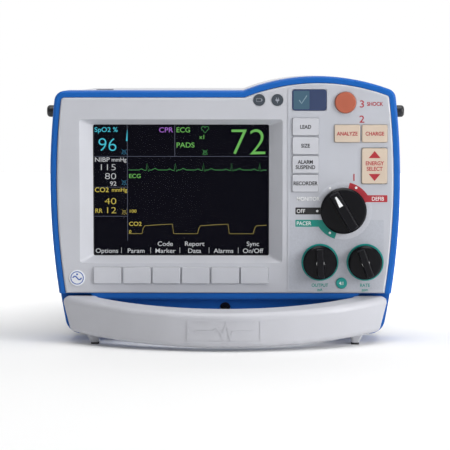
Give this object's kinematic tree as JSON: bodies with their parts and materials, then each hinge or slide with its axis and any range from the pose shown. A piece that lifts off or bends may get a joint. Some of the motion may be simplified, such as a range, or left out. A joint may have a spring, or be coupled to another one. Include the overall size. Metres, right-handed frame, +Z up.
{
  "type": "hospital monitor defibrillator",
  "caption": "Portable hospital defibrillator and monitor with a screen, soft keys, mode and pacer dials, a shock button, strip-chart recorder, pull-out battery and front carrying handle.",
  "frame": {"origin": "on the surface it stands on, under the middle of the overall box", "axes": "+X to the operator's right, +Y from the control panel to the rear, +Z up"},
  "size_m": [0.276, 0.3168, 0.204],
  "materials": {
    "front_housing": "fine texture",
    "blue_frame": "satin",
    "rear_housing": "fine texture",
    "front_handle": "fine texture",
    "rubber_feet": "matte",
    "strap_posts": "satin",
    "screws": "black oxide",
    "control_overlay": "printed film",
    "display_window": "clear",
    "lcd": "lit screen",
    "gasket": "matte",
    "status_window": "tinted",
    "status_lcd": "satin",
    "lens": "smoked",
    "badge": "printed",
    "grey_keys": "silicone feel",
    "cream_keys": "satin",
    "orange": "satin",
    "teal": "satin",
    "black_knobs": "satin",
    "white_mark": "printed",
    "steel": "turned",
    "switches": "moulded",
    "board": "solder mask",
    "chassis": "sheet",
    "capacitor": "sleeved",
    "power": "sheet",
    "charger": "potted",
    "speaker": "black",
    "recorder_plastic": "fine texture",
    "release": "satin",
    "platen": "ground",
    "paper": "paper",
    "battery": "fine texture",
    "latch": "satin",
    "inlet": "moulded",
    "connector_panel": "fine texture",
    "sockets": "moulded",
    "ground": "turned"
  },
  "bodies": {
    "case": {"front_housing": "front_housing", "blue_frame": "blue_frame", "rear_housing": "rear_housing", "front_handle": "front_handle", "rubber_feet": "rubber_feet", "strap_posts": "strap_posts", "case_screws": "screws", "handle_screws": "screws", "control_overlay": "control_overlay", "display_window": "display_window", "lcd_module": "lcd", "lcd_gasket": "gasket", "status_window": "status_window", "status_lcd": "status_lcd", "indicator_lenses": "lens", "badge": "badge", "pacer_trim_rings": "teal", "mode_switch": "switches", "pacer_encoders": "switches", "keypad_board": "board", "main_board": "board", "chassis_bracket": "chassis", "hv_capacitor": "capacitor", "power_supply": "power", "charger_module": "charger", "speaker": "speaker", "recorder_mechanism": "recorder_plastic", "ac_inlet": "inlet", "connector_panel": "connector_panel", "patient_connectors": "sockets", "therapy_connector": "sockets", "ground_post": "ground"},
    "mode_dial": {"mode_knob": "black_knobs", "mode_shaft": "steel", "mode_pointer": "white_mark"},
    "output_dial": {"output_knob": "black_knobs", "output_shaft": "steel"},
    "rate_dial": {"rate_knob": "black_knobs", "rate_shaft": "steel"},
    "battery": {"battery_pack": "battery"},
    "battery_catch": {"battery_latch": "latch"},
    "paper_door": {"recorder_door": "recorder_plastic"},
    "door_release": {"recorder_release": "release"},
    "roll": {"paper_roll": "paper"},
    "platen": {"platen_roller": "platen"},
    "shock": {"shock_button": "orange"},
    "ratio": {"ratio_button": "teal"},
    "rocker": {"energy_rocker": "cream_keys"},
    "softkey_1_cap": {"softkey_1": "grey_keys"},
    "softkey_2_cap": {"softkey_2": "grey_keys"},
    "softkey_3_cap": {"softkey_3": "grey_keys"},
    "softkey_4_cap": {"softkey_4": "grey_keys"},
    "softkey_5_cap": {"softkey_5": "grey_keys"},
    "softkey_6_cap": {"softkey_6": "grey_keys"},
    "lead_key_cap": {"lead_key": "grey_keys"},
    "size_key_cap": {"size_key": "grey_keys"},
    "alarm_key_cap": {"alarm_key": "grey_keys"},
    "recorder_key_cap": {"recorder_key": "grey_keys"},
    "analyze_key_cap": {"analyze_key": "cream_keys"},
    "charge_key_cap": {"charge_key": "cream_keys"}
  },
  "joints": [
    {"name": "softkey_1_press", "type": "slide", "parent": "case", "child": "softkey_1_cap", "axis": [0, 1, 0], "range_m": [0, 0.001], "stiffness_N_per_m": 400},
    {"name": "softkey_2_press", "type": "slide", "parent": "case", "child": "softkey_2_cap", "axis": [0, 1, 0], "range_m": [0, 0.001], "stiffness_N_per_m": 400},
    {"name": "softkey_3_press", "type": "slide", "parent": "case", "child": "softkey_3_cap", "axis": [0, 1, 0], "range_m": [0, 0.001], "stiffness_N_per_m": 400},
    {"name": "softkey_4_press", "type": "slide", "parent": "case", "child": "softkey_4_cap", "axis": [0, 1, 0], "range_m": [0, 0.001], "stiffness_N_per_m": 400},
    {"name": "softkey_5_press", "type": "slide", "parent": "case", "child": "softkey_5_cap", "axis": [0, 1, 0], "range_m": [0, 0.001], "stiffness_N_per_m": 400},
    {"name": "softkey_6_press", "type": "slide", "parent": "case", "child": "softkey_6_cap", "axis": [0, 1, 0], "range_m": [0, 0.001], "stiffness_N_per_m": 400},
    {"name": "lead_key_press", "type": "slide", "parent": "case", "child": "lead_key_cap", "axis": [0, 1, 0], "range_m": [0, 0.001], "stiffness_N_per_m": 400},
    {"name": "size_key_press", "type": "slide", "parent": "case", "child": "size_key_cap", "axis": [0, 1, 0], "range_m": [0, 0.001], "stiffness_N_per_m": 400},
    {"name": "alarm_key_press", "type": "slide", "parent": "case", "child": "alarm_key_cap", "axis": [0, 1, 0], "range_m": [0, 0.001], "stiffness_N_per_m": 400},
    {"name": "recorder_key_press", "type": "slide", "parent": "case", "child": "recorder_key_cap", "axis": [0, 1, 0], "range_m": [0, 0.001], "stiffness_N_per_m": 400},
    {"name": "analyze_key_press", "type": "slide", "parent": "case", "child": "analyze_key_cap", "axis": [0, 1, 0], "range_m": [0, 0.001], "stiffness_N_per_m": 400},
    {"name": "charge_key_press", "type": "slide", "parent": "case", "child": "charge_key_cap", "axis": [0, 1, 0], "range_m": [0, 0.001], "stiffness_N_per_m": 400},
    {"name": "shock_press", "type": "slide", "parent": "case", "child": "shock", "axis": [0, 1, 0], "range_m": [0, 0.0012], "stiffness_N_per_m": 500},
    {"name": "ratio_press", "type": "slide", "parent": "case", "child": "ratio", "axis": [0, 1, 0], "range_m": [0, 0.001], "stiffness_N_per_m": 400},
    {"name": "energy_rock", "type": "hinge", "parent": "case", "child": "rocker", "pos_m": [0.11355, -0.1043, 0.13615], "axis": [1, 0, 0], "range_deg": [-3, 3], "stiffness_Nm_per_rad": 0.05},
    {"name": "mode_turn", "type": "hinge", "parent": "case", "child": "mode_dial", "pos_m": [0.0901, -0.11, 0.1021], "axis": [0, 1, 0], "range_deg": [-120, 60]},
    {"name": "output_turn", "type": "hinge", "parent": "case", "child": "output_dial", "pos_m": [0.0724, -0.11, 0.0626], "axis": [0, 1, 0], "continuous": true},
    {"name": "rate_turn", "type": "hinge", "parent": "case", "child": "rate_dial", "pos_m": [0.1068, -0.11, 0.0626], "axis": [0, 1, 0], "continuous": true},
    {"name": "battery_slide", "type": "slide", "parent": "case", "child": "battery", "axis": [0, 1, 0], "range_m": [0, 0.16]},
    {"name": "battery_catch_press", "type": "slide", "parent": "battery", "child": "battery_catch", "axis": [0, 0, -1], "range_m": [0, 0.003], "stiffness_N_per_m": 300, "springref_m": -0.003},
    {"name": "paper_door_open", "type": "hinge", "parent": "case", "child": "paper_door", "pos_m": [-0.042, 0.042, 0.1903], "axis": [-1, 0, 0], "range_deg": [0, 100]},
    {"name": "door_release_press", "type": "slide", "parent": "case", "child": "door_release", "axis": [0, 0, -1], "range_m": [0, 0.0015], "stiffness_N_per_m": 400, "springref_m": -0.002},
    {"name": "paper_spin", "type": "hinge", "parent": "case", "child": "roll", "pos_m": [-0.042, 0.006, 0.161], "axis": [1, 0, 0], "continuous": true},
    {"name": "platen_spin", "type": "hinge", "parent": "case", "child": "platen", "pos_m": [-0.042, -0.034, 0.175], "axis": [1, 0, 0], "continuous": true}
  ],
  "couplings": [
    {"joint": "platen_spin", "follows": "paper_spin", "ratio": 3.1667}
  ]
}
